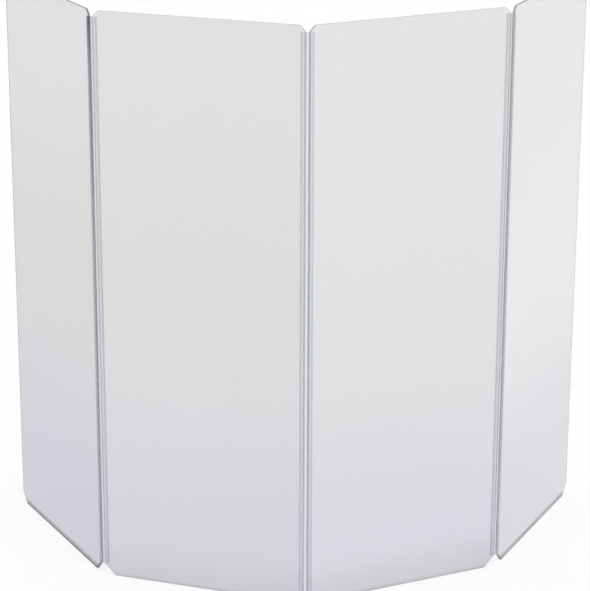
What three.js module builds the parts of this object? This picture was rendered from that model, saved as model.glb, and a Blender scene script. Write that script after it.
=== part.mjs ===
// Folding drum shield: clear acrylic panels that stand on the floor in an arc, joined edge to edge by
// full-height clear hinges. Each hinge is a push-on grip on either panel edge with a flexible web between.
// Millimetres, +Z up. The shield bulges towards -Y; the player and the kit are on the +Y side.

import * as THREE from 'three';

// Panels
const panel_width = 609.6;
const panel_height = 1676.4;
const panel_thickness = 6;
const top_corner_cut = 15;
const bottom_corner_cut = 32;
const corner_softening = 3;
const edge_arris = 0.4;

// Grips: the U-shaped channels pushed onto the panel edges
const panel_clearance = 0.3;
const grip_overlap = 11;
const grip_wall = 1;
const grip_base = 1.4;
const grip_nose_radius = 1.8;
const grip_slot_fillet = 0.5;
const lip_taper_length = 4;
const lip_tip_thickness = 0.6;

// Webs: the flexible strips that let two grips fold flat against each other, to either side
const web_thickness = 1.2;
const web_bead_radius = 1;
const web_clearance = 0.3;
const nose_clearance = 0.35;
const folded_gap = 0.4;

// Hinge length, set back from the corner cuts so that every grip ends on a straight panel edge
const hinge_top_margin = 3;
const hinge_bottom_margin = 1;

// Folds of the three hinges, from left to right, as the shield stands; 0 is straight, 180 is folded flat
const folds_deg = [43, 44, 39];

// Arc smoothness: segments in each rounded corner
const corner_segments = 4;

// What follows from the sizes above
const panel_count = folds_deg.length + 1;
const slot_half_width = panel_thickness / 2 + panel_clearance;
const grip_half_thickness = slot_half_width + grip_wall;
const web_span = 2 * grip_half_thickness + folded_gap;
const nose_setback = web_thickness / 2 + nose_clearance;
const edge_setback = nose_setback + grip_base + panel_clearance;
const hinge_bottom = bottom_corner_cut + hinge_bottom_margin;
const hinge_length = panel_height - hinge_bottom - top_corner_cut - hinge_top_margin;

const clearPlastic = (color, roughness, opacity) => {
  const material = new THREE.MeshStandardMaterial({ color, roughness, metalness: 0 });
  material.transparent = true;
  material.opacity = opacity;
  return material;
};

const acrylic = () => clearPlastic(0xdcdde4, 0.04, 0.3);
const rigidVinyl = () => clearPlastic(0xcfd1da, 0.16, 0.45);
const flexibleVinyl = () => clearPlastic(0xe2e2ec, 0.28, 0.5);

const makeNode = (name, geometry, material) => {
  const node = new THREE.Mesh(geometry, material);
  node.name = name;
  return node;
};

// A closed outline through the given corners, each one eased over the given length of both its sides
function softenedOutline(corners, softening) {
  const outline = new THREE.Shape();
  corners.forEach((corner, i) => {
    const before = corners.at(i - 1);
    const after = corners[(i + 1) % corners.length];
    const entry = corner.clone().add(before.clone().sub(corner).setLength(softening));
    const exit = corner.clone().add(after.clone().sub(corner).setLength(softening));
    if (i === 0) outline.moveTo(entry.x, entry.y);
    else outline.lineTo(entry.x, entry.y);
    outline.quadraticCurveTo(corner.x, corner.y, exit.x, exit.y);
  });
  outline.closePath();
  return outline;
}

// One sheet, centred on its own width and thickness, its lower edge at z = 0: corners cut at 45 degrees,
// small at the top and large at the bottom, and every edge broken by a fine polished arris
function panelGeometry() {
  const half = panel_width / 2;
  const right = [
    [half - bottom_corner_cut, 0],
    [half, bottom_corner_cut],
    [half, panel_height - top_corner_cut],
    [half - top_corner_cut, panel_height],
  ];
  const left = right.map(([x, z]) => [-x, z]).reverse();
  const corners = [...right, ...left].map(([x, z]) => new THREE.Vector2(x, z));
  const depth = panel_thickness - 2 * edge_arris;
  const geometry = new THREE.ExtrudeGeometry(softenedOutline(corners, corner_softening), {
    depth,
    bevelThickness: edge_arris,
    bevelSize: edge_arris,
    bevelOffset: -edge_arris,
    bevelSegments: 1,
    curveSegments: corner_segments,
  });
  geometry.translate(0, 0, -depth / 2);
  geometry.rotateX(Math.PI / 2);
  return geometry;
}

// Section of a grip, looking down. The pivot of the web's bead is at the origin and the panel lies
// towards +x: a nose with a shallow groove that the bead rolls in, a base, and two tapering lips
function gripSection() {
  const half = grip_half_thickness;
  const slot_floor = nose_setback + grip_base;
  const tip = slot_floor + panel_clearance + grip_overlap;
  const tip_radius = lip_tip_thickness / 2;
  const tip_centre = slot_half_width + tip_radius;
  const groove_radius = web_bead_radius + web_clearance;
  const groove_angle = Math.acos(nose_setback / groove_radius);
  const quarter = Math.PI / 2;
  const fillet = grip_slot_fillet;
  const nose = nose_setback + grip_nose_radius;
  const shoulder = half - grip_nose_radius;

  const section = new THREE.Shape();
  section.moveTo(nose, -half);
  section.lineTo(tip - lip_taper_length, -half);
  section.absarc(tip - tip_radius, -tip_centre, tip_radius, -quarter, quarter, false);
  section.absarc(slot_floor + fillet, -slot_half_width + fillet, fillet, -quarter, -2 * quarter, true);
  section.absarc(slot_floor + fillet, slot_half_width - fillet, fillet, 2 * quarter, quarter, true);
  section.absarc(tip - tip_radius, tip_centre, tip_radius, -quarter, quarter, false);
  section.lineTo(tip - lip_taper_length, half);
  section.absarc(nose, shoulder, grip_nose_radius, quarter, 2 * quarter, false);
  section.absarc(0, 0, groove_radius, groove_angle, -groove_angle, true);
  section.absarc(nose, -shoulder, grip_nose_radius, 2 * quarter, 3 * quarter, false);
  section.closePath();
  return section;
}

// Section of a web, looking down: a thin strip that ends in a round bead on each pivot
function webSection() {
  const end = web_span / 2;
  const neck = Math.asin(web_thickness / 2 / web_bead_radius);
  const section = new THREE.Shape();
  section.absarc(end, 0, web_bead_radius, neck - Math.PI, Math.PI - neck, false);
  section.absarc(-end, 0, web_bead_radius, neck, 2 * Math.PI - neck, false);
  section.closePath();
  return section;
}

// A strip of hinge stock, cut square at both ends and standing at the height of the hinges
function hingeStock(section) {
  const settings = { depth: hinge_length, bevelEnabled: false, curveSegments: corner_segments };
  const geometry = new THREE.ExtrudeGeometry(section, settings);
  geometry.translate(0, 0, hinge_bottom);
  return geometry;
}

// Panel number k with the grips on its hinged edges, centred on the panel
function makePanelUnit(k) {
  const unit = new THREE.Group();
  unit.add(makeNode(`panel_${k}`, panelGeometry(), acrylic()));
  const pivot = panel_width / 2 + edge_setback;
  if (k > 1) {
    const grip = makeNode(`hinge_${k - 1}_right_grip`, hingeStock(gripSection()), rigidVinyl());
    grip.position.x = -pivot;
    unit.add(grip);
  }
  if (k < panel_count) {
    const grip = makeNode(`hinge_${k}_left_grip`, hingeStock(gripSection()), rigidVinyl());
    grip.position.x = pivot;
    grip.rotation.z = Math.PI;
    unit.add(grip);
  }
  return unit;
}

// Hinge number k carries the next unit outwards. Half of the fold is taken at each bead, so the web lies
// midway between its two panels; side is 1 for hinges chained to the right and -1 to the left
function addFold(carrier, k, side, unit) {
  const half_fold = (side * THREE.MathUtils.degToRad(folds_deg[k - 1])) / 2;
  const pivot = side * (panel_width / 2 + edge_setback);

  const inner = new THREE.Group();
  inner.position.x = pivot;
  inner.rotation.z = half_fold;
  carrier.add(inner);

  const web = makeNode(`hinge_${k}_web`, hingeStock(webSection()), flexibleVinyl());
  web.position.x = (side * web_span) / 2;
  inner.add(web);

  const outer = new THREE.Group();
  outer.position.x = side * web_span;
  outer.rotation.z = half_fold;
  inner.add(outer);

  unit.position.x = pivot;
  outer.add(unit);
}

// The second panel carries the first on its left and the third, with the fourth, on its right
function makeShield() {
  const units = Array.from({ length: panel_count }, (_, i) => makePanelUnit(i + 1));
  addFold(units[1], 1, -1, units[0]);
  addFold(units[1], 2, 1, units[2]);
  addFold(units[2], 3, 1, units[3]);

  // The middle hinge faces the audience squarely
  units[1].rotation.z = -THREE.MathUtils.degToRad(folds_deg[1]) / 2;

  // The whole shield stands over the origin
  const shield = new THREE.Group();
  shield.add(units[1]);
  shield.updateMatrixWorld(true);
  const centre = new THREE.Box3().setFromObject(shield, true).getCenter(new THREE.Vector3());
  units[1].position.set(-centre.x, -centre.y, 0);
  return shield;
}

export default makeShield();
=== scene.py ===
"""Looks of the folding drum shield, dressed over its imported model.

Four tall sheets of clear acrylic stand in an arc on their lower edges. Clear push-on grips hold their
hinged edges, and a flexible web joins the two grips of each hinge. Everything is in metres, in the frame of
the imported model: +Z is up, and the shield bulges towards -Y.
"""

import logging
import math
from dataclasses import dataclass, replace
from enum import Enum, IntEnum

import bmesh
import bpy
from mathutils import Matrix, Vector


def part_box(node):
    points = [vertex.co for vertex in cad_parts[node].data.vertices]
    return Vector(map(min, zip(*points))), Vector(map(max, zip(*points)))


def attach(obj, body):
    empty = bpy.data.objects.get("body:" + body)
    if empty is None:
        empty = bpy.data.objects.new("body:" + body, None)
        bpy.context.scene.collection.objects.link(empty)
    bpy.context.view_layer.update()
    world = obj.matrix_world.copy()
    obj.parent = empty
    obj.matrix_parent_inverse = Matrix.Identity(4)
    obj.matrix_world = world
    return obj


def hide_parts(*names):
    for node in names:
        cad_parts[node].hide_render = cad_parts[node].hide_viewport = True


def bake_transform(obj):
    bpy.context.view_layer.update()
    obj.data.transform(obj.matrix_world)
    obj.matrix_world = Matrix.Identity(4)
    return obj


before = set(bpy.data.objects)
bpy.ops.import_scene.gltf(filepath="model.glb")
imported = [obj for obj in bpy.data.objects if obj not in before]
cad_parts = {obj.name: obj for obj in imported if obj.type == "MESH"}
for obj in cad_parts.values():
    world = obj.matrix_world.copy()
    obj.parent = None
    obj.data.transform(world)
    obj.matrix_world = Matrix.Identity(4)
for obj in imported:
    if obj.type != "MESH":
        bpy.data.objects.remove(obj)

log = logging.getLogger("drum_shield")

MM = 0.001
HAIR = 0.001 * MM

Colour = tuple[float, float, float]
Span = tuple[float, float]
Point = tuple[float, float]
Socket = bpy.types.NodeSocket

WHITE: Colour = (1.0, 1.0, 1.0)


class Slot(Enum):
    """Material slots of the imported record."""

    ACRYLIC = "clear_acrylic"
    RIGID_VINYL = "clear_rigid_vinyl"
    FLEXIBLE_VINYL = "clear_flexible_vinyl"


class Side(Enum):
    """The two sides of a hinge, as the audience sees them."""

    LEFT = "left"
    RIGHT = "right"


class SheetPart(IntEnum):
    """Parts of a sheet's surface, in the order of its finishes."""

    FACE, EDGE, TOP = range(3)


class GripPart(IntEnum):
    """Parts of a grip's surface, in the order of its finishes."""

    WALL, LIP, NOSE, END = range(4)


class WebPart(IntEnum):
    """Parts of a web's surface, in the order of its finishes."""

    STRIP, BEAD, END = range(3)


# Node trees


class Wiring:
    """Short calls for adding nodes to a node tree and joining them."""

    def __init__(self, tree: bpy.types.NodeTree) -> None:
        """Takes over a node tree and empties it.

        Args:
            tree: the tree of a material, a world or a node group.
        """
        self.tree = tree
        tree.nodes.clear()

    def add(self, kind: str, **settings: object) -> bpy.types.Node:
        """Adds a node.

        Args:
            kind: Blender's name for the type of node.
            **settings: properties to set on it.

        Returns:
            The new node.
        """
        node = self.tree.nodes.new(kind)
        for name, value in settings.items():
            setattr(node, name, value)
        return node

    def join(self, source: Socket, target: Socket) -> None:
        """Links an output socket to an input socket."""
        self.tree.links.new(source, target)

    def feed(self, socket: Socket, value: "Socket | float | Colour") -> None:
        """Feeds an input socket.

        Args:
            socket: the input.
            value: an output to link to it, or a number or colour to set on it.
        """
        if isinstance(value, bpy.types.NodeSocket):
            self.join(value, socket)
        else:
            socket.default_value = (*value, 1.0) if isinstance(value, tuple) else value

    def math(self, operation: str, *values: "Socket | float", clamp: bool = False) -> Socket:
        """Adds a Math node.

        Args:
            operation: Blender's name for the operation.
            *values: its inputs, as many as the operation has.
            clamp: whether the result is kept between 0 and 1.

        Returns:
            The output socket.
        """
        node = self.add("ShaderNodeMath", operation=operation, use_clamp=clamp)
        for socket, value in zip(node.inputs, values):
            self.feed(socket, value)
        return node.outputs[0]

    def span(self, value: Socket, low: float, high: float) -> Socket:
        """Adds a smooth Map Range node.

        Args:
            value: the input to map.
            low: the input that gives 0.
            high: the input that gives 1; it may be the lower of the two.

        Returns:
            The output socket, from 0 to 1.
        """
        node = self.add("ShaderNodeMapRange", interpolation_type="SMOOTHSTEP")
        for name, setting in (("Value", value), ("From Min", low), ("From Max", high)):
            self.feed(node.inputs[name], setting)
        return node.outputs["Result"]

    def blend(
        self,
        share: "Socket | float",
        first: "Socket | Colour",
        second: "Socket | Colour",
        manner: str = "MIX",
    ) -> Socket:
        """Adds a Mix node for colours.

        Args:
            share: how much of the second colour there is.
            first: the colour at share 0.
            second: the colour at share 1.
            manner: Blender's name for how the two are mixed.

        Returns:
            The output socket.
        """
        node = self.add("ShaderNodeMix", data_type="RGBA", blend_type=manner)
        factor, colour_a, colour_b = node.inputs[0], node.inputs[6], node.inputs[7]
        for socket, value in ((factor, share), (colour_a, first), (colour_b, second)):
            self.feed(socket, value)
        return node.outputs[2]

    def axis(self, vector: Socket, name: str) -> Socket:
        """Adds a Separate XYZ node.

        Args:
            vector: the vector.
            name: the axis that is wanted.

        Returns:
            The output socket of that axis.
        """
        node = self.add("ShaderNodeSeparateXYZ")
        self.join(vector, node.inputs[0])
        return node.outputs[name]


@dataclass(frozen=True)
class Grain:
    """A layer of noise, stretched over the unrolled surface.

    Attributes:
        across: cycles per metre across or around the piece.
        along: cycles per metre along its run.
        detail: the number of finer layers.
        shows: the noise at which the layer begins to show, and at which it shows fully.
    """

    across: float
    along: float
    detail: float
    shows: Span = (0.0, 1.0)

    def noise(self, wiring: Wiring, where: Socket) -> Socket:
        """Adds the bare noise.

        Args:
            wiring: the tree's wiring.
            where: the unrolled surface, in metres.

        Returns:
            The noise, about 0 to 1.
        """
        place = wiring.add("ShaderNodeMapping")
        wiring.join(where, place.inputs["Vector"])
        place.inputs["Scale"].default_value = (self.across, self.along, 1.0)
        node = wiring.add("ShaderNodeTexNoise")
        wiring.join(place.outputs["Vector"], node.inputs["Vector"])
        node.inputs["Scale"].default_value = 1.0
        node.inputs["Detail"].default_value = self.detail
        return node.outputs["Fac"]

    def mask(self, wiring: Wiring, where: Socket) -> Socket:
        """Adds the noise as a mask of where the layer shows."""
        return wiring.span(self.noise(wiring, where), *self.shows)


class Effect:
    """A shader node group, built once and placed in each material that uses it.

    Attributes:
        title: the group's name.
        inputs: the name and default of each input, None for a vector.
        outputs: the name and kind of each output.
        socket_kinds: the kind of socket for each type of default.
    """

    title: str = ""
    inputs: dict[str, "float | Colour | None"] = {}
    outputs: dict[str, str] = {}
    socket_kinds = {type(None): "NodeSocketVector", tuple: "NodeSocketColor", float: "NodeSocketFloat"}

    def tree(self) -> bpy.types.NodeTree:
        """Gives the group, and builds it the first time.

        Returns:
            The node group.
        """
        found = bpy.data.node_groups.get(self.title)
        if found:
            return found
        group = bpy.data.node_groups.new(self.title, "ShaderNodeTree")
        wiring = Wiring(group)
        for name, value in self.inputs.items():
            kind = self.socket_kinds[type(value)]
            socket = group.interface.new_socket(name, in_out="INPUT", socket_type=kind)
            if value is not None:
                wiring.feed(socket, value)
        for name, kind in self.outputs.items():
            group.interface.new_socket(name, in_out="OUTPUT", socket_type=kind)
        source = wiring.add("NodeGroupInput").outputs
        sink = wiring.add("NodeGroupOutput").inputs
        for name, socket in self.wire(wiring, source).items():
            wiring.join(socket, sink[name])
        return group

    def wire(self, wiring: Wiring, source: bpy.types.NodeOutputs) -> dict[str, Socket]:
        """Builds the inside of the group.

        Args:
            wiring: the group's own wiring.
            source: the group's inputs, as sockets to read.

        Returns:
            The socket for each output's name.
        """
        raise NotImplementedError

    def place(self, wiring: Wiring, **values: "Socket | float | Colour") -> bpy.types.NodeOutputs:
        """Puts the group into a material.

        Args:
            wiring: the material's wiring.
            **values: a value for each input, named with _ for a space.

        Returns:
            The outputs of the group's node.
        """
        node = wiring.add("ShaderNodeGroup", node_tree=self.tree())
        for name, value in values.items():
            wiring.feed(node.inputs[name.replace("_", " ").title()], value)
        return node.outputs


class HandlingMarks(Effect):
    """Dust specks, wiping streaks and hairline scratches, as on clear plastic that is carried and wiped.

    Attributes:
        patches: where it has been wiped.
        streaks: the streaks within a wiped patch.
        hairlines: the finest scratches within a wiped patch.
        specks_per_metre: how close the dust specks may lie.
        speck_edge: a speck's radius where it is solid and where it ends, as shares of their spacing.
        speck_share: the chances above which there is no speck, and a speck.
        film: how much wiping shows beside a speck.
        scratch_depth: depth of a hairline beside the height of a speck.
    """

    title = "Handling Marks"
    inputs = {
        "Vector": None,
        "Clear Colour": (0.8, 0.8, 0.8),
        "Dusty Colour": (0.6, 0.6, 0.6),
        "Smoothness": 0.0,
        "Scuffing": 0.1,
        "Dust": 0.5,
    }
    outputs = {"Colour": "NodeSocketColor", "Roughness": "NodeSocketFloat", "Height": "NodeSocketFloat"}
    patches = Grain(3.0, 2.0, 2.0, (0.42, 0.68))
    streaks = Grain(90.0, 5.0, 2.0, (0.56, 0.78))
    hairlines = Grain(900.0, 22.0, 1.0, (0.70, 0.76))
    specks_per_metre = 160.0
    speck_edge: Span = (0.05, 0.11)
    speck_share: Span = (0.80, 0.82)
    film = 0.5
    scratch_depth = 0.5

    def wire(self, wiring: Wiring, source: bpy.types.NodeOutputs) -> dict[str, Socket]:
        """Builds the inside of the group.

        Args:
            wiring: the group's own wiring.
            source: the group's inputs, as sockets to read.

        Returns:
            The socket for each output's name.
        """
        where = source["Vector"]
        patches, streaks, hairlines = (
            grain.mask(wiring, where) for grain in (self.patches, self.streaks, self.hairlines)
        )
        specks = wiring.add("ShaderNodeTexVoronoi", feature="F1")
        wiring.join(where, specks.inputs["Vector"])
        specks.inputs["Scale"].default_value = self.specks_per_metre
        solid, gone = self.speck_edge
        dots = wiring.span(specks.outputs["Distance"], gone, solid)
        chance = wiring.add("ShaderNodeSeparateColor")
        wiring.join(specks.outputs["Color"], chance.inputs[0])
        settled = wiring.math("MULTIPLY", dots, wiring.span(chance.outputs[0], *self.speck_share))
        wiped = wiring.math("MULTIPLY", patches, wiring.math("MAXIMUM", streaks, hairlines))
        film = wiring.math("MULTIPLY", wiped, self.film)
        grime = wiring.math("MULTIPLY", wiring.math("MAXIMUM", film, settled), source["Dust"], clamp=True)
        worn = wiring.math("MULTIPLY", wiring.math("MAXIMUM", wiped, settled), source["Scuffing"])
        scratches = wiring.math("MULTIPLY", hairlines, self.scratch_depth)
        return {
            "Colour": wiring.blend(grime, source["Clear Colour"], source["Dusty Colour"]),
            "Roughness": wiring.math("ADD", worn, source["Smoothness"], clamp=True),
            "Height": wiring.math("SUBTRACT", settled, scratches),
        }


class DieLines(Effect):
    """Fine lines along a strip, left by the die that it was drawn through.

    Attributes:
        lines: the lines themselves.
        swell: how the surface swells between them.
    """

    title = "Die Lines"
    inputs = {"Vector": None, "Depth": 0.5}
    outputs = {"Mask": "NodeSocketFloat", "Height": "NodeSocketFloat"}
    lines = Grain(2600.0, 1.5, 2.0, (0.5, 0.72))
    swell = Grain(140.0, 1.2, 1.0)

    def wire(self, wiring: Wiring, source: bpy.types.NodeOutputs) -> dict[str, Socket]:
        """Builds the inside of the group.

        Args:
            wiring: the group's own wiring.
            source: the group's inputs, as sockets to read.

        Returns:
            The socket for each output's name.
        """
        lines, swell = (grain.noise(wiring, source["Vector"]) for grain in (self.lines, self.swell))
        height = wiring.math("MULTIPLY", wiring.math("ADD", lines, swell), source["Depth"])
        return {"Mask": wiring.span(lines, *self.lines.shows), "Height": height}


# Finishes


@dataclass(frozen=True)
class ClearFinish:
    """A clear plastic.

    Attributes:
        title: the material's name.
        clear: colour of the light let through where it is clean.
        dusty: colour of the light let through where it is dusty or worn.
        shade: colour of the light that reaches the floor through one surface.
        refraction: index of refraction.
        smoothness: roughness where it is clean.
        scuffing: how much marks add to the roughness.
        dust: how much the marks show in the colour.
        relief: depth of the marks, in metres.
        clearness: share of the light that goes through rather than being scattered back.
    """

    title: str
    clear: Colour
    dusty: Colour
    shade: Colour = (0.92, 0.92, 0.93)
    refraction: float = 1.53
    smoothness: float = 0.04
    scuffing: float = 0.12
    dust: float = 0.3
    relief: float = 0.015 * MM
    clearness: float = 1.0

    def build(self) -> bpy.types.Material:
        """Gives the material, and builds it the first time.

        Returns:
            The material.
        """
        found = bpy.data.materials.get(self.title)
        if found:
            return found
        material = bpy.data.materials.new(self.title)
        material.use_nodes = True
        wiring = Wiring(material.node_tree)
        where = wiring.add("ShaderNodeTexCoord").outputs["UV"]
        colour, roughness, height = self.surface(wiring, where)
        bump = wiring.add("ShaderNodeBump")
        bump.inputs["Distance"].default_value = self.relief
        wiring.join(height, bump.inputs["Height"])
        plastic = wiring.add("ShaderNodeBsdfPrincipled")
        plastic.inputs["IOR"].default_value = self.refraction
        plastic.inputs["Transmission Weight"].default_value = self.clearness
        wiring.join(colour, plastic.inputs["Base Color"])
        wiring.join(roughness, plastic.inputs["Roughness"])
        wiring.join(bump.outputs["Normal"], plastic.inputs["Normal"])
        through = wiring.add("ShaderNodeBsdfTransparent")
        wiring.feed(through.inputs["Color"], self.shade)
        path = wiring.add("ShaderNodeLightPath").outputs
        shown = plastic.outputs[0]
        for ray in ("Is Diffuse Ray", "Is Shadow Ray"):
            choice = wiring.add("ShaderNodeMixShader")
            wiring.join(path[ray], choice.inputs[0])
            wiring.join(shown, choice.inputs[1])
            wiring.join(through.outputs[0], choice.inputs[2])
            shown = choice.outputs[0]
        wiring.join(shown, wiring.add("ShaderNodeOutputMaterial").inputs["Surface"])
        return material

    def surface(self, wiring: Wiring, where: Socket) -> tuple[Socket, Socket, Socket]:
        """Builds what changes over the surface.

        Args:
            wiring: the material's wiring.
            where: the unrolled surface, in metres.

        Returns:
            The colour, the roughness and the height of the marks.
        """
        marks = HandlingMarks().place(
            wiring, vector=where, clear_colour=self.clear, dusty_colour=self.dusty,
            smoothness=self.smoothness, scuffing=self.scuffing, dust=self.dust,
        )
        return marks["Colour"], marks["Roughness"], marks["Height"]


@dataclass(frozen=True)
class SheetFace(ClearFinish):
    """The polished faces of a cast acrylic sheet, with painted shade: darker and bluer towards the floor, a
    band of painted contact shadow over the scuffing along the lower edge, and a painted dark line along one
    lower corner cut.

    Attributes:
        middle: colour half way up, painted shade of the backdrop seen through the sheet.
        low: colour at knee height, painted shade of the floor seen through the sheet.
        foot: colour just above the floor, painted shade of the floor seen through the sheet.
        levels: the heights between which each of these gives way to the one above it, from the foot up.
        contact_shade: colour of the band along the lower edge, painted contact shadow.
        contact_shadow_rim: colour where the band meets the lower edge, a darker painted contact shadow.
        scuff_and_shade_height: height at which the band of scuffing and painted contact shadow has faded out.
        fade: height over which it fades out.
        rim_height: height of the band's darker rim of painted contact shadow.
        rim_fade: height over which the rim fades into the band.
        ragged: the noise that the band's borders follow.
        raggedness: how far they stray.
        scuffed_roughness: how much the band adds to the roughness.
        corner_shade: colour of a painted dark line of shade along the lower corner cut beside the hinge.
        hinge_side: 1 if that corner is on the right, -1 on the left, and 0 for none.
        corner_reach: distance of the lower corners from the sheet's middle.
        corner_shade_width: width of the painted dark line.
        corner_shade_core: width of the part of it that is fully dark.
    """

    middle: Colour = (0.71, 0.71, 0.716)
    low: Colour = (0.697, 0.674, 0.734)
    foot: Colour = (0.627, 0.607, 0.661)
    levels: tuple[Span, Span, Span] = ((0.0, 0.14), (0.2, 0.8), (0.8, 1.6))
    contact_shade: Colour = (0.58, 0.57, 0.61)
    contact_shadow_rim: Colour = (0.42, 0.42, 0.44)
    scuff_and_shade_height: float = 14.0 * MM
    fade: float = 6.0 * MM
    rim_height: float = 3.0 * MM
    rim_fade: float = 1.5 * MM
    ragged: Grain = Grain(260.0, 30.0, 3.0)
    raggedness: float = 1.6 * MM
    scuffed_roughness: float = 0.12
    corner_shade: Colour = (0.01, 0.01, 0.015)
    hinge_side: float = 0.0
    corner_reach: float = 272.8 * MM
    corner_shade_width: float = 14.0 * MM
    corner_shade_core: float = 2.0 * MM

    def surface(self, wiring: Wiring, where: Socket) -> tuple[Socket, Socket, Socket]:
        """Builds what changes over the surface.

        Args:
            wiring: the material's wiring.
            where: the unrolled surface, in metres.

        Returns:
            The colour, the roughness and the height of the marks.
        """
        # Painted shade of the floor seen through the sheet: the tint darkens and turns bluer towards the
        # floor.
        height = wiring.axis(where, "Y")
        tint = self.foot
        for level, above in zip(self.levels, (self.low, self.middle, self.clear)):
            tint = wiring.blend(wiring.span(height, *level), tint, above)
        marks = HandlingMarks().place(
            wiring, vector=where, clear_colour=tint, dusty_colour=self.dusty,
            smoothness=self.smoothness, scuffing=self.scuffing, dust=self.dust,
        )
        # A band along the lower edge: scuffing in the roughness and relief, painted contact shadow in the
        # colour, with a darker painted rim at the edge.
        border = wiring.math("MULTIPLY_ADD", self.ragged.noise(wiring, where), self.raggedness, height)
        band = wiring.span(border, self.scuff_and_shade_height, self.scuff_and_shade_height - self.fade)
        above_rim = wiring.span(border, self.rim_height, self.rim_height + self.rim_fade)
        colour = wiring.blend(band, marks["Colour"], wiring.blend(above_rim, self.contact_shadow_rim, self.contact_shade))
        # Painted shade: a nearly black line along the lower corner cut beside the hinge.
        towards = wiring.math("MULTIPLY", wiring.axis(where, "X"), self.hinge_side)
        reach = wiring.math("SUBTRACT", towards, height)
        corner_shade_mask = wiring.span(reach, self.corner_reach - self.corner_shade_width, self.corner_reach - self.corner_shade_core)
        rough = wiring.math("MULTIPLY_ADD", band, self.scuffed_roughness, marks["Roughness"], clamp=True)
        relief = wiring.math("SUBTRACT", marks["Height"], band)
        return wiring.blend(corner_shade_mask, colour, self.corner_shade), rough, relief


@dataclass(frozen=True)
class CutEdge(ClearFinish):
    """The cut and flame-polished edges of the sheet, with the saw's marks still faintly across them.

    Attributes:
        tooth_pitch: distance between saw marks, in metres.
        tooth_stretch: how fast they change through the sheet, as a share of how fast along its edge.
        tooth_shows: the noise at which a mark begins to show, and at which it shows fully.
        tooth_tint: how far a mark takes on the dusty colour.
        tooth_roughness: how much a mark adds to the roughness.
        tooth_depth: depth of a mark beside the height of a dust speck.
    """

    tooth_pitch: float = 1.6 * MM
    tooth_stretch: float = 0.2
    tooth_shows: Span = (0.35, 0.7)
    tooth_tint: float = 0.35
    tooth_roughness: float = 0.10
    tooth_depth: float = 0.8

    def surface(self, wiring: Wiring, where: Socket) -> tuple[Socket, Socket, Socket]:
        """Builds what changes over the surface.

        Args:
            wiring: the material's wiring.
            where: the unrolled surface, in metres.

        Returns:
            The colour, the roughness and the height of the marks.
        """
        colour, roughness, height = super().surface(wiring, where)
        rate = 1.0 / self.tooth_pitch
        teeth = Grain(rate, rate * self.tooth_stretch, 2.0, self.tooth_shows).mask(wiring, where)
        shaded = wiring.blend(wiring.math("MULTIPLY", teeth, self.tooth_tint), colour, self.dusty)
        rough = wiring.math("MULTIPLY_ADD", teeth, self.tooth_roughness, roughness, clamp=True)
        return shaded, rough, wiring.math("MULTIPLY_ADD", teeth, self.tooth_depth, height)


@dataclass(frozen=True)
class DrawnVinyl(ClearFinish):
    """Clear vinyl drawn through a die, deeper in colour where light crosses its walls at a slant: partly the
    longer path through the wall, partly painted shade.

    Attributes:
        lines: how strongly the die lines show.
        line_tint: how far the strongest lines take on the dusty colour.
        line_roughness: how much a line adds to the roughness.
        deep: colour of the light let through at a slant, partly painted shade.
        slant: the facing at which that colour begins to show, and at which it shows fully.
    """

    lines: float = 0.5
    line_tint: float = 0.2
    line_roughness: float = 0.08
    deep: Colour = (0.52, 0.54, 0.60)
    slant: Span = (0.25, 0.62)

    def surface(self, wiring: Wiring, where: Socket) -> tuple[Socket, Socket, Socket]:
        """Builds what changes over the surface.

        Args:
            wiring: the material's wiring.
            where: the unrolled surface, in metres.

        Returns:
            The colour, the roughness and the height of the marks.
        """
        colour, roughness, height = super().surface(wiring, where)
        drawn = DieLines().place(wiring, vector=where, depth=self.lines)
        mask = drawn["Mask"]
        shaded = wiring.blend(wiring.math("MULTIPLY", mask, self.line_tint * self.lines), colour, self.dusty)
        # Deeper colour at a slant: partly the longer path through the wall, partly painted shade.
        slant = wiring.span(wiring.add("ShaderNodeLayerWeight").outputs["Facing"], *self.slant)
        rough = wiring.math("MULTIPLY_ADD", mask, self.line_roughness, roughness, clamp=True)
        return wiring.blend(slant, shaded, self.deep), rough, wiring.math("ADD", height, drawn["Height"])


@dataclass(frozen=True)
class ShadedVinyl(DrawnVinyl):
    """Drawn vinyl on a wing, painted with shade that darkens it towards its upper end.

    Attributes:
        upper_shade: painted shade, multiplied into the colour in the upper third.
        upper: the heights over which that tint comes in.
        end_shade: painted shade, multiplied in close to the upper end.
        end: the heights over which it comes in.
    """

    upper_shade: Colour = (0.78, 0.79, 0.80)
    upper: Span = (1.0, 1.4)
    end_shade: Colour = (0.30, 0.32, 0.38)
    end: Span = (1.5, 1.66)

    def surface(self, wiring: Wiring, where: Socket) -> tuple[Socket, Socket, Socket]:
        """Builds what changes over the surface.

        Args:
            wiring: the material's wiring.
            where: the unrolled surface, in metres.

        Returns:
            The colour, the roughness and the height of the marks.
        """
        colour, roughness, height = super().surface(wiring, where)
        level = wiring.axis(where, "Y")
        # Painted shade towards the wing's upper end.
        tint = wiring.blend(wiring.span(level, *self.upper), WHITE, self.upper_shade)
        tint = wiring.blend(wiring.span(level, *self.end), tint, self.end_shade)
        return wiring.blend(1.0, colour, tint, "MULTIPLY"), roughness, height


# The face's grey tint is painted shade: the shaded backdrop seen through the clear sheet.
SHEET_FACE = SheetFace(
    title="Acrylic face", clear=(0.742, 0.742, 0.742), dusty=(0.60, 0.60, 0.61), shade=(0.965, 0.96, 0.97),
    refraction=1.49, smoothness=0.0, scuffing=0.08, dust=0.35, relief=0.01 * MM,
)
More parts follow.
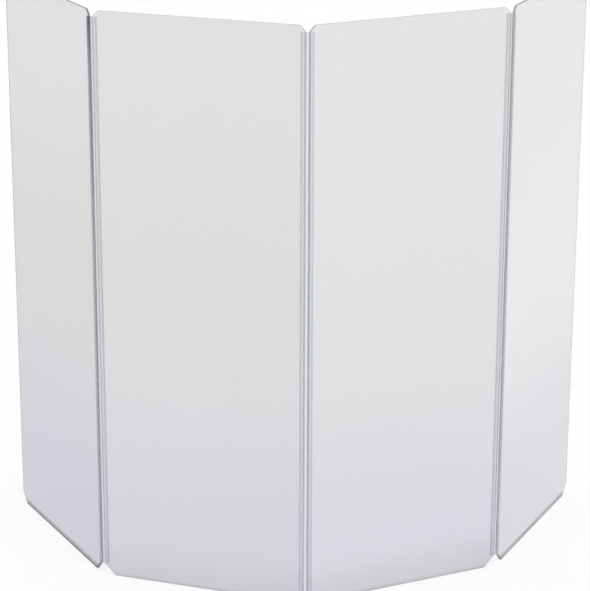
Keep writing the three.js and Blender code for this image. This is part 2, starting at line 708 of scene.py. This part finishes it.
# The panels' faces are lit and shaded copies of one acrylic: each copy's tints are painted lighter or darker,
# and the wings' copies have a deeper band of painted contact shadow.
SHEET_FACES = (
    replace(
        SHEET_FACE, title="Acrylic face 1", clear=(0.71, 0.71, 0.711), middle=(0.643, 0.641, 0.652),
        low=(0.607, 0.58, 0.661), foot=(0.607, 0.58, 0.661), contact_shade=(0.34, 0.34, 0.36),
        contact_shadow_rim=(0.04, 0.04, 0.05), scuff_and_shade_height=19.0 * MM, fade=7.0 * MM, rim_height=4.0 * MM,
        hinge_side=1.0,
    ),
    replace(SHEET_FACE, title="Acrylic face 2"),
    replace(
        SHEET_FACE, title="Acrylic face 3", clear=(0.773, 0.773, 0.774), middle=(0.746, 0.755, 0.756),
        low=(0.724, 0.71, 0.765), foot=(0.637, 0.625, 0.673),
    ),
    replace(
        SHEET_FACE, title="Acrylic face 4", clear=(0.769, 0.782, 0.756), middle=(0.773, 0.796, 0.788),
        low=(0.679, 0.67, 0.725), foot=(0.679, 0.67, 0.725), contact_shade=(0.38, 0.38, 0.40),
        contact_shadow_rim=(0.16, 0.16, 0.17), scuff_and_shade_height=19.0 * MM, fade=7.0 * MM, hinge_side=-1.0,
        corner_shade_width=13.0 * MM,
    ),
)
CUT_EDGE = CutEdge(
    title="Acrylic cut edge", clear=(0.76, 0.77, 0.80), dusty=(0.64, 0.65, 0.69), shade=(0.80, 0.80, 0.82),
    refraction=1.49, smoothness=0.22, scuffing=0.15, dust=0.5, relief=0.05 * MM, clearness=0.6,
)
# Lit and shaded copies of the cut edge: panel 1's edge is painted darker and panel 4's lighter.
CUT_EDGES = (
    replace(CUT_EDGE, title="Acrylic cut edge 1", clear=(0.495, 0.515, 0.565), dusty=(0.41, 0.43, 0.48)),
    CUT_EDGE,
    CUT_EDGE,
    replace(CUT_EDGE, title="Acrylic cut edge 4", clear=(0.84, 0.85, 0.86), dusty=(0.72, 0.73, 0.75)),
)
LIGHT_TOP = replace(
    CUT_EDGE, title="Acrylic light top edge", clear=(0.74, 0.75, 0.77), dusty=(0.62, 0.63, 0.66),
)
# Painted shade: the top edges of panels 1 and 4 are painted nearly black, while panels 2 and 3 keep a pale
# copy of the cut edge.
PAINTED_SHADE_TOP = replace(
    CUT_EDGE, title="Acrylic top edge, painted shade", clear=(0.10, 0.10, 0.11), dusty=(0.16, 0.16, 0.17),
    clearness=0.3,
)
TOP_EDGES = (PAINTED_SHADE_TOP, LIGHT_TOP, LIGHT_TOP, PAINTED_SHADE_TOP)
RIGID_VINYL = DrawnVinyl(title="Clear rigid vinyl", clear=(0.93, 0.935, 0.953), dusty=(0.78, 0.79, 0.83))
# The lips are painted darker than the wall: painted shade of the lip tips. Their heavier dust is dust.
LIP_VINYL = replace(
    RIGID_VINYL, title="Clear rigid vinyl lips", clear=(0.76, 0.77, 0.80), dusty=(0.64, 0.65, 0.69), dust=0.5,
)
# The nose is painted darker than the wall: painted shade of the rounded nose.
NOSE_VINYL = replace(
    RIGID_VINYL, title="Clear rigid vinyl nose", clear=(0.78, 0.80, 0.84), dusty=(0.66, 0.68, 0.72),
    deep=(0.68, 0.70, 0.75), clearness=0.85,
)
# The left wing's grip is a shaded copy of the grip vinyl: its wall and lips are painted darker, and darker
# still towards the upper end.
LEFT_WING_WALL = ShadedVinyl(
    title="Clear rigid vinyl, left wing", clear=(0.82, 0.84, 0.88), dusty=(0.78, 0.79, 0.83), clearness=0.8,
)
SAWN_END = CutEdge(
    title="Vinyl sawn end", clear=(0.62, 0.63, 0.67), dusty=(0.50, 0.51, 0.55), shade=(0.80, 0.80, 0.82),
    smoothness=0.38, scuffing=0.15, dust=0.6, relief=0.06 * MM, clearness=0.5, tooth_pitch=0.7 * MM,
)
GRIP_FINISHES = (RIGID_VINYL, LIP_VINYL, NOSE_VINYL, SAWN_END)
LEFT_WING_GRIP_FINISHES = (
    LEFT_WING_WALL,
    replace(
        LEFT_WING_WALL, title="Clear rigid vinyl lips, left wing", clear=(0.74, 0.76, 0.80),
        dusty=(0.64, 0.65, 0.69), dust=0.5, clearness=0.75,
    ),
    replace(
        LEFT_WING_WALL, title="Clear rigid vinyl nose, left wing", clear=(0.80, 0.82, 0.86),
        dusty=(0.66, 0.68, 0.72), deep=(0.62, 0.64, 0.70), clearness=0.85,
    ),
    SAWN_END,
)
# The right wing's grip is a shaded copy too: its wall and lips are painted darker, its nose lighter than the
# other grips' noses.
RIGHT_WING_GRIP_FINISHES = (
    replace(
        RIGID_VINYL, title="Clear rigid vinyl, right wing", clear=(0.82, 0.83, 0.86), deep=(0.60, 0.62, 0.66),
        clearness=0.8,
    ),
    replace(
        LIP_VINYL, title="Clear rigid vinyl lips, right wing", clear=(0.74, 0.75, 0.78),
        deep=(0.54, 0.56, 0.60), clearness=0.75,
    ),
    replace(
        NOSE_VINYL, title="Clear rigid vinyl nose, right wing", clear=(0.93, 0.935, 0.95),
        deep=(0.70, 0.72, 0.75),
    ),
    SAWN_END,
)
FLEXIBLE_VINYL = DrawnVinyl(
    title="Clear flexible vinyl", clear=(0.79, 0.80, 0.84), dusty=(0.74, 0.75, 0.80),
    shade=(0.92, 0.92, 0.94), refraction=1.52, smoothness=0.14, scuffing=0.20, relief=0.02 * MM, lines=0.8,
    deep=(0.73, 0.75, 0.80), clearness=0.92,
)
# The beads are painted darker than the strip: painted shade of the round bead.
BEAD_VINYL = replace(
    FLEXIBLE_VINYL, title="Clear flexible vinyl beads", clear=(0.66, 0.67, 0.72), deep=(0.62, 0.64, 0.70),
)
WEB_FINISHES = (FLEXIBLE_VINYL, BEAD_VINYL, SAWN_END)


# Shapes


def arc(centre: Point, radius: float, start: float, end: float, steps: int) -> list[Point]:
    """Points along an arc, both ends included.

    Args:
        centre: the arc's centre.
        radius: its radius.
        start: the angle of its first point, in radians.
        end: the angle of its last point.
        steps: the number of segments.

    Returns:
        The points.
    """
    angles = [start + (end - start) * i / steps for i in range(steps + 1)]
    return [(centre[0] + radius * math.cos(a), centre[1] + radius * math.sin(a)) for a in angles]


def inset(outline: list[Point], distance: float) -> list[Point]:
    """Moves a closed outline inwards.

    Args:
        outline: its points, counter-clockwise.
        distance: how far it moves.

    Returns:
        As many points, moved along the corners' bisectors.
    """
    moved = []
    for i, here in enumerate(outline):
        before, after = Vector(outline[i - 1]), Vector(outline[(i + 1) % len(outline)])
        at = Vector(here)
        into, out = (at - before).normalized(), (after - at).normalized()
        one, two = Vector((-into.y, into.x)), Vector((-out.y, out.x))
        step = (one + two) * (distance / (1.0 + one.dot(two)))
        moved.append((at.x + step.x, at.y + step.y))
    return moved


@dataclass(frozen=True)
class Place:
    """A spot on the floor and a heading, from which pieces are laid out.

    Attributes:
        x: metres along +X.
        y: metres along +Y.
        heading: the direction of the piece's width, in radians from +X.
    """

    x: float
    y: float
    heading: float

    def ahead(self, distance: float) -> "Place":
        """Gives the place that lies a distance further along the heading."""
        x, y = self.x + distance * math.cos(self.heading), self.y + distance * math.sin(self.heading)
        return Place(x, y, self.heading)

    def turned(self, angle: float) -> "Place":
        """Gives the same spot with the heading turned by an angle in radians."""
        return Place(self.x, self.y, self.heading + angle)

    def matrix(self) -> Matrix:
        """Gives the place as a matrix."""
        return Matrix.Translation((self.x, self.y, 0.0)) @ Matrix.Rotation(self.heading, 4, "Z")


@dataclass(frozen=True)
class Loft:
    """A solid skinned over a row of closed rings with as many points each.

    Attributes:
        title: the piece's name.
        rings: the rings, each a list of points.
        run: the axis that the rings follow each other along.
        cap_axes: the two axes across its ends, as the unrolled surface has them.
        parts: the part of the surface that each strip of the skin belongs to.
        end_part: the part that its ends belong to.
        open_back: whether the strip that closes the rings is left out, because another half goes on there.
        crisp: edges at a greater angle than this stay crisp, in radians.
    """

    title: str
    rings: list[list[Vector]]
    parts: tuple[int, ...]
    end_part: int
    run: int = 2
    cap_axes: tuple[int, int] = (0, 1)
    open_back: bool = False
    crisp: float = math.radians(25)

    def build(self, place: Place) -> bpy.types.Object:
        """Makes the mesh.

        Args:
            place: where it stands.

        Returns:
            The new object, which isn't dressed yet.
        """
        form = bmesh.new()
        unrolled = form.loops.layers.uv.new("unrolled")
        rows = [[form.verts.new(point) for point in ring] for ring in self.rings]
        count = len(rows[0])
        widest = self.rings[len(self.rings) // 2]
        around = [0.0]
        for i in range(count):
            around.append(around[-1] + (widest[(i + 1) % count] - widest[i]).length)
        back = []
        for low, high in zip(rows, rows[1:]):
            for i in range(count):
                face = form.faces.new((low[i], low[(i + 1) % count], high[(i + 1) % count], high[i]))
                face.material_index = self.parts[i]
                face.smooth = True
                for loop, far in zip(face.loops, (i, i + 1, i + 1, i)):
                    loop[unrolled].uv = (around[far], loop.vert.co[self.run])
            back.append(face)
        for row in (list(reversed(rows[0])), rows[-1]):
            face = form.faces.new(row)
            face.material_index = self.end_part
            for loop in face.loops:
                loop[unrolled].uv = [loop.vert.co[axis] for axis in self.cap_axes]
        bmesh.ops.recalc_face_normals(form, faces=form.faces)
        for edge in form.edges:
            edge.smooth = edge.calc_face_angle() < self.crisp
        if self.open_back:
            bmesh.ops.delete(form, geom=back, context="FACES_ONLY")
        form.transform(place.matrix())
        mesh = bpy.data.meshes.new(self.title)
        form.to_mesh(mesh)
        form.free()
        piece = bpy.data.objects.new(self.title, mesh)
        bpy.context.scene.collection.objects.link(piece)
        return piece


def dress(piece: bpy.types.Object, slot: Slot, *finishes: ClearFinish) -> None:
    """Gives a piece its materials.

    Args:
        piece: the piece.
        slot: the record's slot of the piece's material; not used.
        *finishes: the finish of each part of its surface.
    """
    for finish in finishes:
        piece.data.materials.append(finish.build())


@dataclass(frozen=True)
class Sheet:
    """One acrylic panel: its lower corners cut deep for carrying and its upper ones a little.

    Attributes:
        width: width of the sheet.
        height: height of the sheet.
        thickness: thickness of the sheet.
        top_cut: length of the upper corner cuts along either side.
        bottom_cut: length of the lower corner cuts.
        softening: how far each corner is eased.
        arris: radius of the polished arris along every edge.
        top_band: how far below the top edge the eased corners still count as part of it.
        corner_steps: segments in each eased corner.
        arris_steps: segments across the arris.
    """

    width: float = 609.6 * MM
    height: float = 1676.4 * MM
    thickness: float = 6.0 * MM
    top_cut: float = 15.0 * MM
    bottom_cut: float = 32.0 * MM
    softening: float = 3.0 * MM
    arris: float = 0.4 * MM
    top_band: float = 0.2 * MM
    corner_steps: int = 10
    arris_steps: int = 4

    def outline(self) -> list[Point]:
        """Draws the sheet's outline as seen from the front.

        Returns:
            The points, counter-clockwise, with every corner eased.
        """
        half = self.width / 2
        right = [
            (half - self.bottom_cut, 0.0),
            (half, self.bottom_cut),
            (half, self.height - self.top_cut),
            (half - self.top_cut, self.height),
        ]
        corners = [Vector(p) for p in right + [(-x, z) for x, z in reversed(right)]]
        points: list[Point] = []
        for i, corner in enumerate(corners):
            entry = corner + (corners[i - 1] - corner).normalized() * self.softening
            leave = corner + (corners[(i + 1) % len(corners)] - corner).normalized() * self.softening
            for step in range(self.corner_steps + 1):
                t = step / self.corner_steps
                at = entry * (1 - t) ** 2 + corner * (2 * t * (1 - t)) + leave * t**2
                points.append((at.x, at.y))
        return points

    def parts(self, outline: list[Point]) -> tuple[SheetPart, ...]:
        """Tells the top edge from the others.

        Args:
            outline: the sheet's outline.

        Returns:
            The part of the surface that each stretch of the outline belongs to.
        """
        rim = self.height - self.top_band
        ends = zip(outline, outline[1:] + outline[:1])
        return tuple(SheetPart.TOP if min(one[1], two[1]) > rim else SheetPart.EDGE for one, two in ends)

    def build(self, number: int, place: Place, body: str) -> bpy.types.Object:
        """Makes, dresses and places the sheet.

        Args:
            number: the panel's number, from the left.
            place: where its centre stands.
            body: the body that it rides on.

        Returns:
            The piece.
        """
        outline = self.outline()
        half = self.thickness / 2
        quarter = [math.pi / 2 * i / self.arris_steps for i in range(self.arris_steps + 1)]
        front = [(self.arris * (1 - math.sin(a)), -half + self.arris * (1 - math.cos(a))) for a in quarter]
        profile = front + [(depth, -y) for depth, y in reversed(front)]
        rings = [[Vector((x, y, z)) for x, z in inset(outline, depth)] for depth, y in profile]
        name = f"acrylic_sheet_{number}"
        loft = Loft(name, rings, self.parts(outline), SheetPart.FACE, run=1, cap_axes=(0, 2))
        piece = loft.build(place)
        dress(piece, Slot.ACRYLIC, SHEET_FACES[number - 1], CUT_EDGES[number - 1], TOP_EDGES[number - 1])
        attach(piece, body)
        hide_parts(f"panel_{number}")
        return piece


@dataclass(frozen=True)
class Strip:
    """What every strip of hinge stock shares.

    Attributes:
        bottom: height of its lower end above the floor.
        length: its length.
        end_chamfer: the small chamfer around its cut ends.
        arc_steps: segments in each quarter turn.
    """

    bottom: float = 33.0 * MM
    length: float = 1625.4 * MM
    end_chamfer: float = 0.15 * MM
    arc_steps: int = 8

    def levels(self) -> list[tuple[float, float]]:
        """Lays out the rings of a strip that is chamfered at both ends.

        Returns:
            Each ring's height above the floor and how far it is inset.
        """
        top, chamfer = self.bottom + self.length, self.end_chamfer
        lower = [(self.bottom, chamfer), (self.bottom + chamfer, 0.0)]
        return lower + [(top - chamfer, 0.0), (top, chamfer)]


@dataclass(frozen=True)
class Grip(Strip):
    """The rigid channel pushed onto a panel's edge.

    Attributes:
        slot_half_width: half of the slot that takes the sheet.
        wall: thickness of either lip.
        base: thickness of the base between the slot and the nose.
        setback: distance from the web's pivot to the nose.
        clearance: air between the sheet's edge and the slot's floor.
        overlap: how far the lips reach over the sheet.
        nose_radius: radius of the nose's two corners.
        slot_fillet: radius in the slot's corners.
        taper: length over which each lip thins to its tip.
        tip: thickness of a lip's tip.
        groove_radius: radius of the groove for the web's bead.
    """

    slot_half_width: float = 3.3 * MM
    wall: float = 1.0 * MM
    base: float = 1.4 * MM
    setback: float = 0.95 * MM
    clearance: float = 0.3 * MM
    overlap: float = 11.0 * MM
    nose_radius: float = 1.8 * MM
    slot_fillet: float = 0.5 * MM
    taper: float = 4.0 * MM
    tip: float = 0.6 * MM
    groove_radius: float = 1.3 * MM

    def section(self) -> list[Point]:
        """Draws the grip's section, its pivot at the origin and the panel towards +x.

        Returns:
            The points, counter-clockwise.
        """
        half = self.slot_half_width + self.wall
        floor = self.setback + self.base
        end = floor + self.clearance + self.overlap
        round_tip = self.tip / 2
        tip_y = self.slot_half_width + round_tip
        nose = self.setback + self.nose_radius
        shoulder = half - self.nose_radius
        turn = math.acos(self.setback / self.groove_radius)
        quarter = math.pi / 2
        fillet = self.slot_fillet
        steps = self.arc_steps
        points: list[Point] = [(nose, -half), (end - self.taper, -half)]
        points += arc((end - round_tip, -tip_y), round_tip, -quarter, quarter, steps)
        points += arc((floor + fillet, -self.slot_half_width + fillet), fillet, -quarter, -2 * quarter, steps)
        points += arc((floor + fillet, self.slot_half_width - fillet), fillet, 2 * quarter, quarter, steps)
        points += arc((end - round_tip, tip_y), round_tip, -quarter, quarter, steps)
        points += [(end - self.taper, half)]
        points += arc((nose, shoulder), self.nose_radius, quarter, 2 * quarter, steps)
        points += arc((0.0, 0.0), self.groove_radius, turn, -turn, steps)
        points += arc((nose, -shoulder), self.nose_radius, 2 * quarter, 3 * quarter, steps)[:-1]
        return points

    def parts(self, section: list[Point]) -> tuple[GripPart, ...]:
        """Tells the parts of the section apart.

        Args:
            section: the grip's section.

        Returns:
            The part of the surface that each stretch of the section belongs to: a lip from where its taper
            starts, the nose with the base behind it, or the wall between them.
        """
        floor = self.setback + self.base
        nose_end = floor + self.slot_fillet
        lip_start = floor + self.clearance + self.overlap - self.taper - HAIR
        found = []
        for (one, _), (two, _) in zip(section, section[1:] + section[:1]):
            is_nose = max(one, two) < nose_end
            part = GripPart.NOSE if is_nose else GripPart.WALL
            found.append(GripPart.LIP if min(one, two) > lip_start else part)
        return tuple(found)

    def build(self, hinge: int, side: Side, place: Place, body: str) -> bpy.types.Object:
        """Makes, dresses and places the grip.

        Args:
            hinge: the hinge's number, from the left.
            side: the side of the hinge that it is on.
            place: its pivot, heading towards the panel.
            body: the body that it rides on.

        Returns:
            The piece.
        """
        section = self.section()
        rings = [[Vector((x, y, z)) for x, y in inset(section, depth)] for z, depth in self.levels()]
        loft = Loft(f"rigid_grip_{hinge}_{side.value}", rings, self.parts(section), GripPart.END)
        piece = loft.build(place)
        wings = {"panel_1": LEFT_WING_GRIP_FINISHES, "panel_4": RIGHT_WING_GRIP_FINISHES}
        dress(piece, Slot.RIGID_VINYL, *wings.get(body, GRIP_FINISHES))
        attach(piece, body)
        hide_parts(f"hinge_{hinge}_{side.value}_grip")
        return piece


@dataclass(frozen=True)
class Web(Strip):
    """The flexible strip between two grips, which bends beside either bead.

    Attributes:
        span: distance between the two beads.
        thickness: thickness of the strip.
        bead_radius: radius of the beads.
        bend_start: where the bend begins, beyond the bead's centre and away from the strip.
        bend_end: where the bend ends, along the strip.
        bead_reach: how far along the strip the bead's painted shade goes.
        neck_ease: how softly the strip runs into the bead.
        neck_start: how far past the bead's centre the strip's own outline begins, as a share of its radius.
        across_steps: segments along either half of the strip.
        crowding: how much they crowd towards the bead.
        crisp: edges at a greater angle than this stay crisp, in radians.
    """

    span: float = 9.0 * MM
    thickness: float = 1.2 * MM
    bead_radius: float = 1.0 * MM
    bend_start: float = 1.0 * MM
    bend_end: float = 1.8 * MM
    bead_reach: float = 1.7 * MM
    neck_ease: float = 0.15 * MM
    neck_start: float = 0.1
    across_steps: int = 20
    crowding: float = 1.4
    crisp: float = math.radians(40)

    def half_width(self, along: float) -> float:
        """Half of the strip's thickness.

        Args:
            along: the distance from the bead's centre.

        Returns:
            Half of the thickness there, the neck eased into the bead.
        """
        bead = math.sqrt(max(0.0, self.bead_radius**2 - along**2))
        strip = self.thickness / 2
        return (bead + strip + math.hypot(bead - strip, self.neck_ease)) / 2

    def section(self) -> list[Point]:
        """Draws one half of the strip, its bead at the origin and the strip's middle towards +x.

        Returns:
            The points, counter-clockwise, from the lower side of the middle round the bead to its upper side.
        """
        middle = self.span / 2
        strides = [middle * (1 - i / self.across_steps) ** self.crowding for i in range(self.across_steps)]
        upper = [(x, self.half_width(x)) for x in strides if x > self.neck_start * self.bead_radius]
        bead = arc((0.0, 0.0), self.bead_radius, math.pi / 2, 3 * math.pi / 2, 2 * self.arc_steps)
        return upper + bead + [(x, -y) for x, y in reversed(upper)]

    def bent(self, point: Point, angle: float) -> Point:
        """Bends a point of the straight strip as the standing shield does.

        Args:
            point: the point, with the bead at the origin.
            angle: the bend at the bead, in radians.

        Returns:
            The point once the bead side has turned by the angle.
        """
        share = min(1.0, max(0.0, (point[0] + self.bend_start) / (self.bend_start + self.bend_end)))
        turn = angle * (1 - share * share * (3 - 2 * share))
        c, s = math.cos(turn), math.sin(turn)
        return (point[0] * c - point[1] * s, point[0] * s + point[1] * c)

    def build(
        self, hinge: int, side: Side, place: Place, bend: float, bodies: tuple[str, str]
    ) -> bpy.types.Object:
        """Makes, dresses and places one half of the web.

        Args:
            hinge: the hinge's number, from the left.
            side: the half of the web.
            place: its pivot, heading along the strip towards its middle.
            bend: how far the grip's axis is turned from the strip's, in radians.
            bodies: the body of the grip and the body of the web; not used.

        Returns:
            The piece.
        """
        section = self.section()
        rings = [
            [Vector((*self.bent(point, bend), z)) for point in inset(section, depth)]
            for z, depth in self.levels()
        ]
        for ring in rings:
            ring[0].x = ring[-1].x = self.span / 2
        parts = tuple(WebPart.BEAD if x < self.bead_reach else WebPart.STRIP for x, _ in section)
        name = f"flexible_web_{hinge}_{side.value}"
        loft = Loft(name, rings, parts, WebPart.END, open_back=True, crisp=self.crisp)
        piece = loft.build(place)
        dress(piece, Slot.FLEXIBLE_VINYL, *WEB_FINISHES)
        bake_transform(piece)
        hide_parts(f"hinge_{hinge}_web")
        return piece


@dataclass(frozen=True)
class Hinge:
    """One full-height hinge between two panels.

    Attributes:
        number: its number, from the left.
        fold: the angle that it is folded by as the shield stands, in radians; 0 is straight.
        bodies: the bodies of its left panel, its web and its right panel.
        grip: the sizes of its two grips.
        web: the sizes of its web.
    """

    number: int
    fold: float
    bodies: tuple[str, str, str]
    grip: Grip = Grip()
    web: Web = Web()

    def build(self, left_pivot: Place) -> list[bpy.types.Object]:
        """Makes the hinge's four pieces.

        Args:
            left_pivot: the left bead, heading along the web to the right.

        Returns:
            The pieces: both grips, then both halves of the web.
        """
        left, middle, right = self.bodies
        right_pivot = left_pivot.ahead(self.web.span)
        bend = self.fold / 2
        back = math.pi
        return [
            self.grip.build(self.number, Side.LEFT, left_pivot.turned(back - bend), left),
            self.grip.build(self.number, Side.RIGHT, right_pivot.turned(bend), right),
            self.web.build(self.number, Side.LEFT, left_pivot, -bend, (left, middle)),
            self.web.build(self.number, Side.RIGHT, right_pivot.turned(back), bend, (right, middle)),
        ]


@dataclass(frozen=True)
class Shield:
    """The whole shield: panels and hinges, laid out from the second panel.

    Attributes:
        folds: the three hinges' folds from the left, in degrees.
        sheet: the sizes of a panel.
        grip: the sizes of a grip.
        web: the sizes of a web.
    """

    folds: tuple[float, float, float] = (43.0, 44.0, 39.0)
    sheet: Sheet = Sheet()
    grip: Grip = Grip()
    web: Web = Web()

    def reach(self) -> float:
        """Gives the distance from a panel's centre to the pivot at its edge."""
        return self.sheet.width / 2 + self.grip.clearance + self.grip.base + self.grip.setback

    def places(self) -> tuple[list[Place], list[Place]]:
        """Lays out the standing shield.

        Returns:
            The centre of each panel, and the left pivot of each hinge heading along its web.
        """
        low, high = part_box("panel_2")
        folds = [math.radians(f) for f in self.folds]
        second = Place((low[0] + high[0]) / 2, (low[1] + high[1]) / 2, -folds[1] / 2)
        reach, span = self.reach(), self.web.span
        first_web = second.ahead(-reach).turned(-folds[0] / 2).ahead(-span)
        second_web = second.ahead(reach).turned(folds[1] / 2)
        third = second_web.ahead(span).turned(folds[1] / 2).ahead(reach)
        third_web = third.ahead(reach).turned(folds[2] / 2)
        first = first_web.turned(-folds[0] / 2).ahead(-reach)
        fourth = third_web.ahead(span).turned(folds[2] / 2).ahead(reach)
        return [first, second, third, fourth], [first_web, second_web, third_web]

    def build(self) -> None:
        """Makes every panel and hinge."""
        panels, webs = self.places()
        for number, place in enumerate(panels, 1):
            piece = self.sheet.build(number, place, f"panel_{number}")
            log.info("%s: %d faces, at (%.4f, %.4f)", piece.name, len(piece.data.polygons), place.x, place.y)
        for number, (place, fold) in enumerate(zip(webs, self.folds), 1):
            bodies = (f"panel_{number}", f"hinge_{number}_web", f"panel_{number + 1}")
            hinge = Hinge(number, math.radians(fold), bodies, self.grip, self.web)
            for piece in hinge.build(place):
                log.info("%s: %d faces", piece.name, len(piece.data.polygons))


# Studio


@dataclass(frozen=True)
class Studio:
    """A plain white floor, plain soft light and a camera at the photograph's angle.

    Attributes:
        floor_reach: half of the floor's side.
        floor_drop: how far the floor lies below the sheets' lower edges.
        floor_colour: the floor's own colour.
        floor_lift: how much whiter the camera sees the floor than it is lit.
        sky_strength: how strongly the surroundings light the scene.
        lamp_strength: the strength of the overhead lamp.
        lamp_softness: the lamp's angle as seen from the floor, in degrees.
        lamp_lean: how far the lamp leans from overhead, in degrees.
        lamp_bearing: the direction the lamp shines from, in degrees from +X.
        camera_at: the camera's place.
        camera_yaw: its turn from +Y towards +X, in radians.
        camera_dip: how far it looks down, in radians.
        camera_roll: its roll, in radians.
        camera_lens: its lens, in mm.
        camera_sensor: the width of its sensor, in mm.
        camera_range: how far it sees.
        bounces: how often light may bounce or pass through a surface.
        clear_bounces: how often it may pass a surface that lets it straight through.
    """

    floor_reach: float = 40.0
    floor_drop: float = 0.2 * MM
    floor_colour: Colour = (0.84, 0.84, 0.84)
    floor_lift: float = 0.16
    sky_strength: float = 0.70
    lamp_strength: float = 1.1
    lamp_softness: float = 24.0
    lamp_lean: float = 32.0
    lamp_bearing: float = -70.0
    camera_at: tuple[float, float, float] = (-0.4001, -6.4876, 2.9283)
    camera_yaw: float = 0.0573
    camera_dip: float = 0.3169
    camera_roll: float = 0.0032
    camera_lens: float = 142.92
    camera_sensor: float = 36.0
    camera_range: float = 200.0
    bounces: int = 32
    clear_bounces: int = 64

    def seen(self, wiring: Wiring) -> Socket:
        """Wires a test for rays that show a thing rather than light something.

        Args:
            wiring: the wiring of a material or of the world.

        Returns:
            1 for camera, glossy and transmission rays, and 0 for others.
        """
        path = wiring.add("ShaderNodeLightPath").outputs
        shown = wiring.math("MAXIMUM", path["Is Camera Ray"], path["Is Glossy Ray"])
        return wiring.math("MAXIMUM", shown, path["Is Transmission Ray"])

    def build_floor(self) -> None:
        """Makes the floor."""
        form = bmesh.new()
        bmesh.ops.create_grid(form, x_segments=1, y_segments=1, size=self.floor_reach)
        mesh = bpy.data.meshes.new("studio_floor")
        form.to_mesh(mesh)
        form.free()
        floor = bpy.data.objects.new("studio_floor", mesh)
        bpy.context.scene.collection.objects.link(floor)
        floor.location.z = -self.floor_drop
        material = bpy.data.materials.new("Studio floor")
        material.use_nodes = True
        wiring = Wiring(material.node_tree)
        matt = wiring.add("ShaderNodeBsdfDiffuse")
        wiring.feed(matt.inputs["Color"], self.floor_colour)
        glow = wiring.add("ShaderNodeEmission")
        wiring.join(wiring.math("MULTIPLY", self.seen(wiring), self.floor_lift), glow.inputs["Strength"])
        both = wiring.add("ShaderNodeAddShader")
        wiring.join(matt.outputs[0], both.inputs[0])
        wiring.join(glow.outputs[0], both.inputs[1])
        wiring.join(both.outputs[0], wiring.add("ShaderNodeOutputMaterial").inputs["Surface"])
        mesh.materials.append(material)

    def build_light(self) -> None:
        """Makes the surroundings and the overhead lamp."""
        world = bpy.data.worlds.new("Studio")
        bpy.context.scene.world = world
        world.use_nodes = True
        wiring = Wiring(world.node_tree)
        sky = wiring.add("ShaderNodeBackground")
        rest = 1.0 - self.sky_strength
        strength = wiring.math("MULTIPLY_ADD", self.seen(wiring), rest, self.sky_strength)
        wiring.join(strength, sky.inputs["Strength"])
        wiring.feed(sky.inputs["Color"], WHITE)
        wiring.join(sky.outputs[0], wiring.add("ShaderNodeOutputWorld").inputs["Surface"])
        lamp = bpy.data.lights.new("overhead_lamp", "SUN")
        lamp.energy = self.lamp_strength
        lamp.angle = math.radians(self.lamp_softness)
        bulb = bpy.data.objects.new("overhead_lamp", lamp)
        bpy.context.scene.collection.objects.link(bulb)
        lean, bearing = math.radians(self.lamp_lean), math.radians(self.lamp_bearing)
        towards = Vector(
            (math.sin(lean) * math.cos(bearing), math.sin(lean) * math.sin(bearing), math.cos(lean))
        )
        bulb.rotation_euler = towards.to_track_quat("Z", "Y").to_euler()

    def build_camera(self) -> None:
        """Makes the camera and sets how the picture shows its colours."""
        lens = bpy.data.cameras.new("camera")
        lens.lens = self.camera_lens
        lens.sensor_width = self.camera_sensor
        lens.clip_end = self.camera_range
        camera = bpy.data.objects.new("camera", lens)
        bpy.context.scene.collection.objects.link(camera)
        yaw, dip = self.camera_yaw, self.camera_dip
        forward = Vector((math.sin(yaw) * math.cos(dip), math.cos(yaw) * math.cos(dip), -math.sin(dip)))
        level = Vector((math.cos(yaw), -math.sin(yaw), 0.0))
        above = level.cross(forward)
        c, s = math.cos(self.camera_roll), math.sin(self.camera_roll)
        right, up = c * level + s * above, c * above - s * level
        turn = Matrix((right, up, -forward)).transposed().to_4x4()
        camera.matrix_world = Matrix.Translation(self.camera_at) @ turn
        scene = bpy.context.scene
        scene.camera = camera
        scene.view_settings.view_transform = "Standard"
        scene.cycles.max_bounces = self.bounces
        scene.cycles.transmission_bounces = self.bounces
        scene.cycles.transparent_max_bounces = self.clear_bounces

    def build(self) -> None:
        """Makes the floor, the light and the camera."""
        self.build_camera()
        self.build_floor()
        self.build_light()


def main() -> None:
    logging.basicConfig(level=logging.INFO, format="%(name)s: %(message)s")
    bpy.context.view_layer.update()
    Studio().build()
    log.info("studio: floor, lamp and camera")
    Shield().build()


if __name__ == "__main__":
    main()
